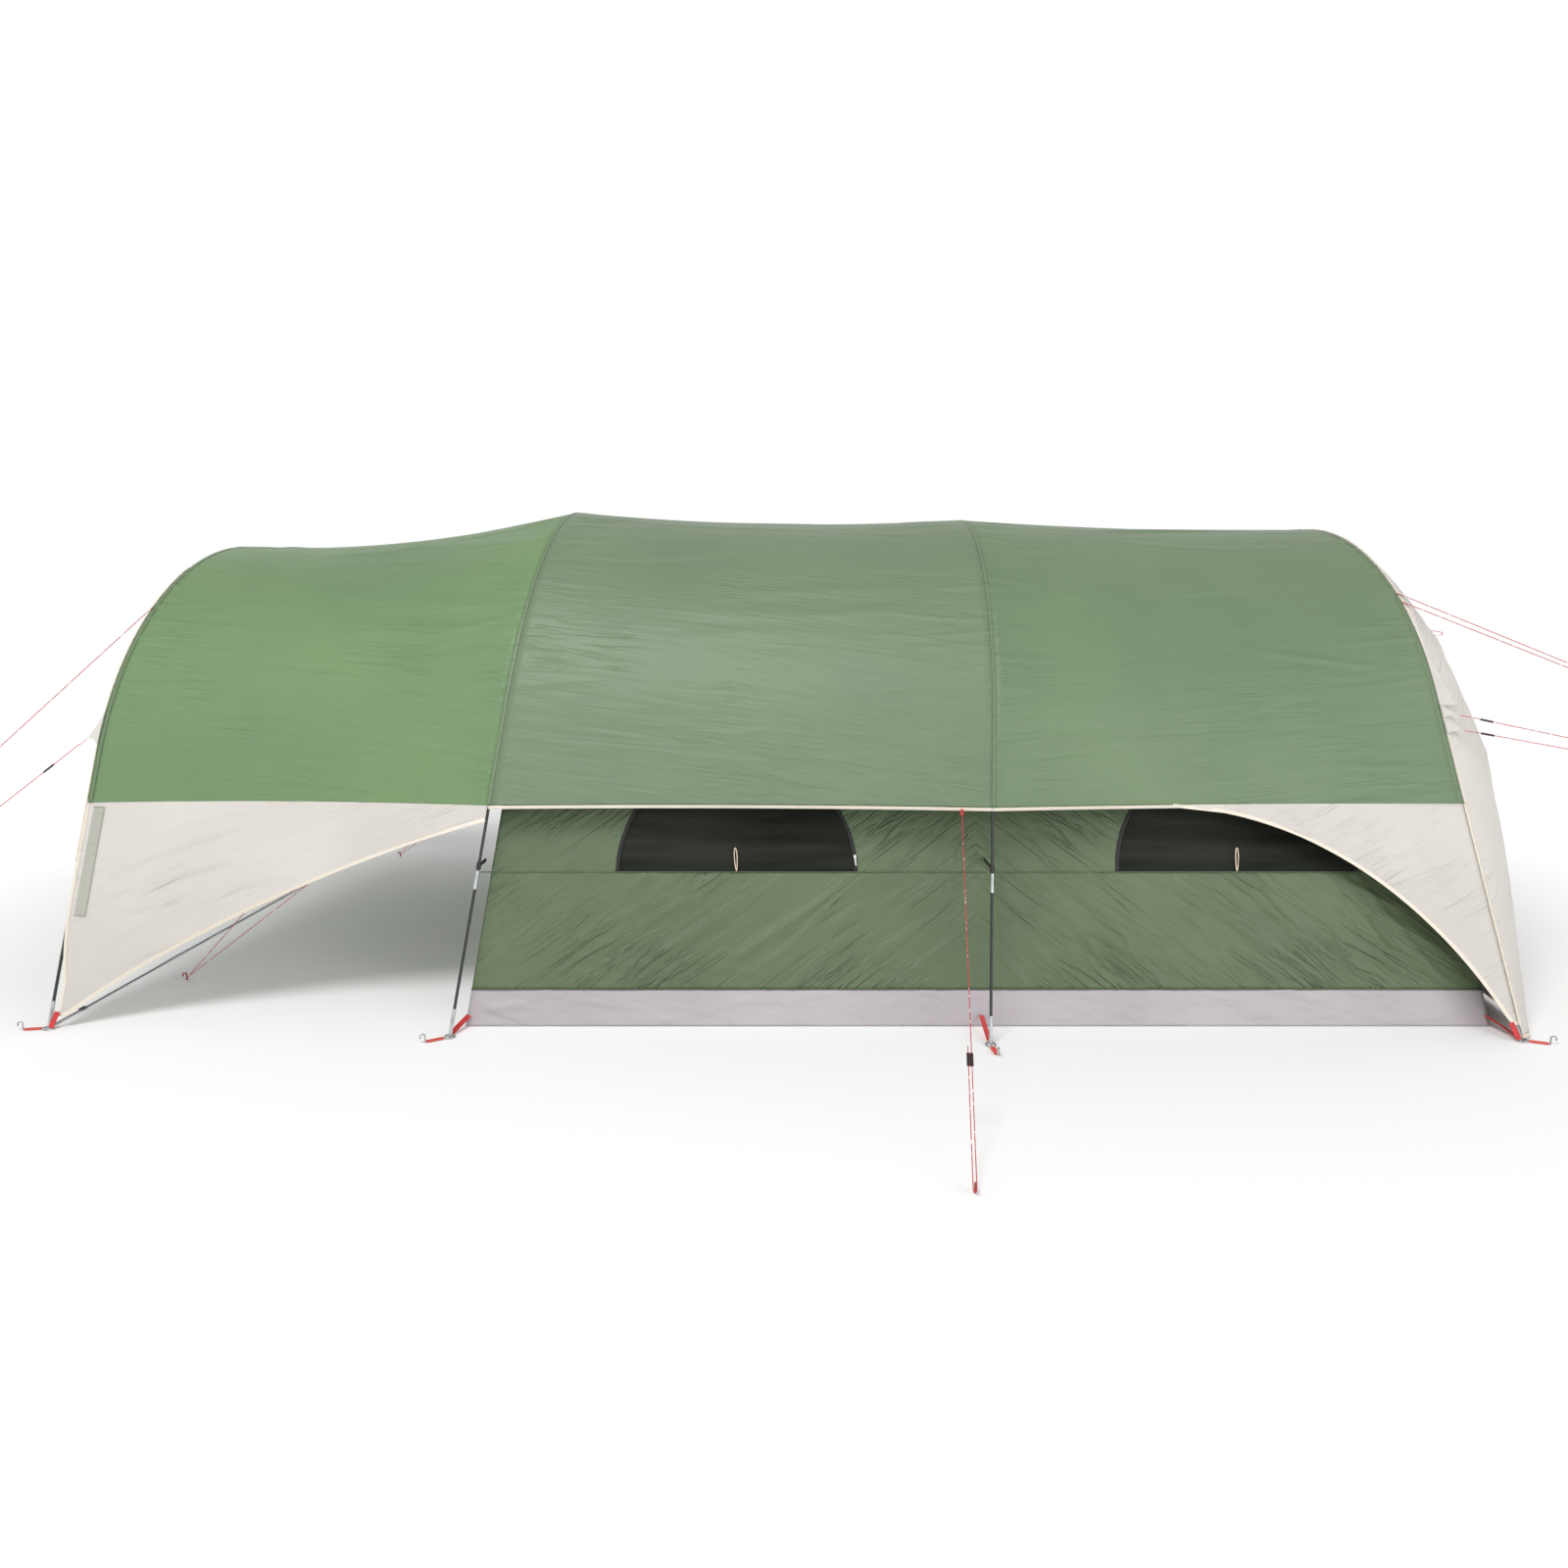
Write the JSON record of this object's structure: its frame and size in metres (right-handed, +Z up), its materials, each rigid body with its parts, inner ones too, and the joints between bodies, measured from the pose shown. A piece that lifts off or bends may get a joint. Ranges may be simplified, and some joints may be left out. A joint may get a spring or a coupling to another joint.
{
  "type": "tunnel tent",
  "caption": "Tunnel family tent on hooped poles: fly sheet with open porch, hung cabin with zipped mesh windows, guy lines and pegs.",
  "frame": {"origin": "middle of the tent on the ground, halfway along its length without the guy lines", "axes": "+X towards the domed rear end, the open porch at -X, +Y to the far side, +Z up"},
  "size_m": [7.1274, 4.271, 2.0019],
  "materials": {
    "fibreglass": "semi-gloss",
    "steel": "satin",
    "peg_steel": "satin",
    "elastic": "matte",
    "fly_green": "coated weave",
    "fly_cream": "coated weave",
    "sleeve_cloth": "weave",
    "tape_cream": "ribbed tape",
    "groundsheet": "woven film",
    "cabin_green": "weave",
    "mesh_black": "fine mesh",
    "zip_black": "matte",
    "zinc": "satin",
    "loop_cream": "cord",
    "clip_black": "matte",
    "runner_black": "matte",
    "webbing_red": "ribbed webbing",
    "webbing_orange": "ribbed webbing",
    "strap_black": "ribbed webbing",
    "guy_cord": "braided"
  },
  "bodies": {
    "tent": {"cabin_floor": "groundsheet", "cabin_front_wall": "cabin_green", "cabin_rear_wall": "cabin_green", "cabin_roof": "cabin_green", "cabin_wall_far": "cabin_green", "cabin_wall_near": "cabin_green", "corner_webbing": "webbing_red", "door_zip": "zip_black", "eave_tapes": "tape_cream", "floor_webbing": "webbing_red", "fly_roof_front": "fly_green", "fly_roof_middle": "fly_green", "fly_roof_rear": "fly_green", "foot_pegs": "steel", "front_arch_poles": "fibreglass", "front_lower_guy": "guy_cord", "front_upper_guy": "guy_cord", "ground_ring_pins": "steel", "ground_strap": "strap_black", "guy_gussets": "fly_cream", "guy_loops": "webbing_red", "guy_pegs": "peg_steel", "middle_guy": "guy_cord", "peg_tabs": "webbing_orange", "pole_clips": "clip_black", "pole_end_tips": "steel", "pole_ferrules": "steel", "pole_sleeves": "sleeve_cloth", "porch_guy_far": "guy_cord", "porch_guy_near": "guy_cord", "porch_side_far": "fly_cream", "porch_side_near": "fly_cream", "rear_arch_poles": "fibreglass", "rear_bridle": "guy_cord", "rear_dome_panel": "fly_cream", "rear_lower_guy_a": "guy_cord", "rear_lower_guy_b": "guy_cord", "rear_side_far": "fly_cream", "rear_side_near": "fly_cream", "rear_upper_guy_a": "guy_cord", "rear_upper_guy_b": "guy_cord", "second_arch_poles": "fibreglass", "shock_cords": "elastic", "strap_buckle": "clip_black", "third_arch_poles": "fibreglass", "window_flap_rolls": "cabin_green", "window_loops": "loop_cream", "window_mesh_far": "mesh_black", "window_mesh_near": "mesh_black", "window_zips": "zip_black"},
    "near_front_window_slider": {"window_slider_near_front": "zinc"},
    "far_front_window_slider": {"window_slider_far_front": "zinc"},
    "near_rear_window_slider": {"window_slider_near_rear": "zinc"},
    "far_rear_window_slider": {"window_slider_far_rear": "zinc"},
    "door": {"door_panel": "cabin_green"},
    "door_zip_slider": {"door_slider": "zinc"},
    "middle_runner": {"middle_runner": "runner_black"},
    "front_runner": {"front_runner": "runner_black"},
    "rear_runner_a": {"rear_runner_a": "runner_black"},
    "rear_runner_b": {"rear_runner_b": "runner_black"}
  },
  "joints": [
    {"name": "near_front_window_zip", "type": "hinge", "parent": "tent", "child": "near_front_window_slider", "pos_m": [-0.2903, -1.24131, 0.548], "axis": [0, -0.9455, 0.3256], "range_deg": [0, 166]},
    {"name": "far_front_window_zip", "type": "hinge", "parent": "tent", "child": "far_front_window_slider", "pos_m": [-0.2903, 1.24131, 0.548], "axis": [0, -0.9455, -0.3256], "range_deg": [0, 166]},
    {"name": "near_rear_window_zip", "type": "hinge", "parent": "tent", "child": "near_rear_window_slider", "pos_m": [1.6297, -1.24131, 0.548], "axis": [0, -0.9455, 0.3256], "range_deg": [0, 166]},
    {"name": "far_rear_window_zip", "type": "hinge", "parent": "tent", "child": "far_rear_window_slider", "pos_m": [1.6297, 1.24131, 0.548], "axis": [0, -0.9455, -0.3256], "range_deg": [0, 166]},
    {"name": "door_opening", "type": "hinge", "parent": "tent", "child": "door", "pos_m": [-1.28272, -0.43, 0.16384], "axis": [0.1246, 0, 0.9922], "range_deg": [0, 110]},
    {"name": "door_zip_run", "type": "slide", "parent": "tent", "child": "door_zip_slider", "axis": [0.1246, 0, 0.9922], "range_m": [0, 0.85]},
    {"name": "middle_runner_slide", "type": "slide", "parent": "tent", "child": "middle_runner", "axis": [-0.1005, -0.8336, -0.5432], "range_m": [-0.02, 0.3]},
    {"name": "front_runner_slide", "type": "slide", "parent": "tent", "child": "front_runner", "axis": [-0.6784, -0.3735, -0.6327], "range_m": [-0.02, 0.3]},
    {"name": "rear_runner_a_slide", "type": "slide", "parent": "tent", "child": "rear_runner_a", "axis": [0.8405, -0.506, -0.194], "range_m": [-0.01, 0.2]},
    {"name": "rear_runner_b_slide", "type": "slide", "parent": "tent", "child": "rear_runner_b", "axis": [0.8535, -0.4966, -0.1576], "range_m": [-0.01, 0.2]}
  ]
}
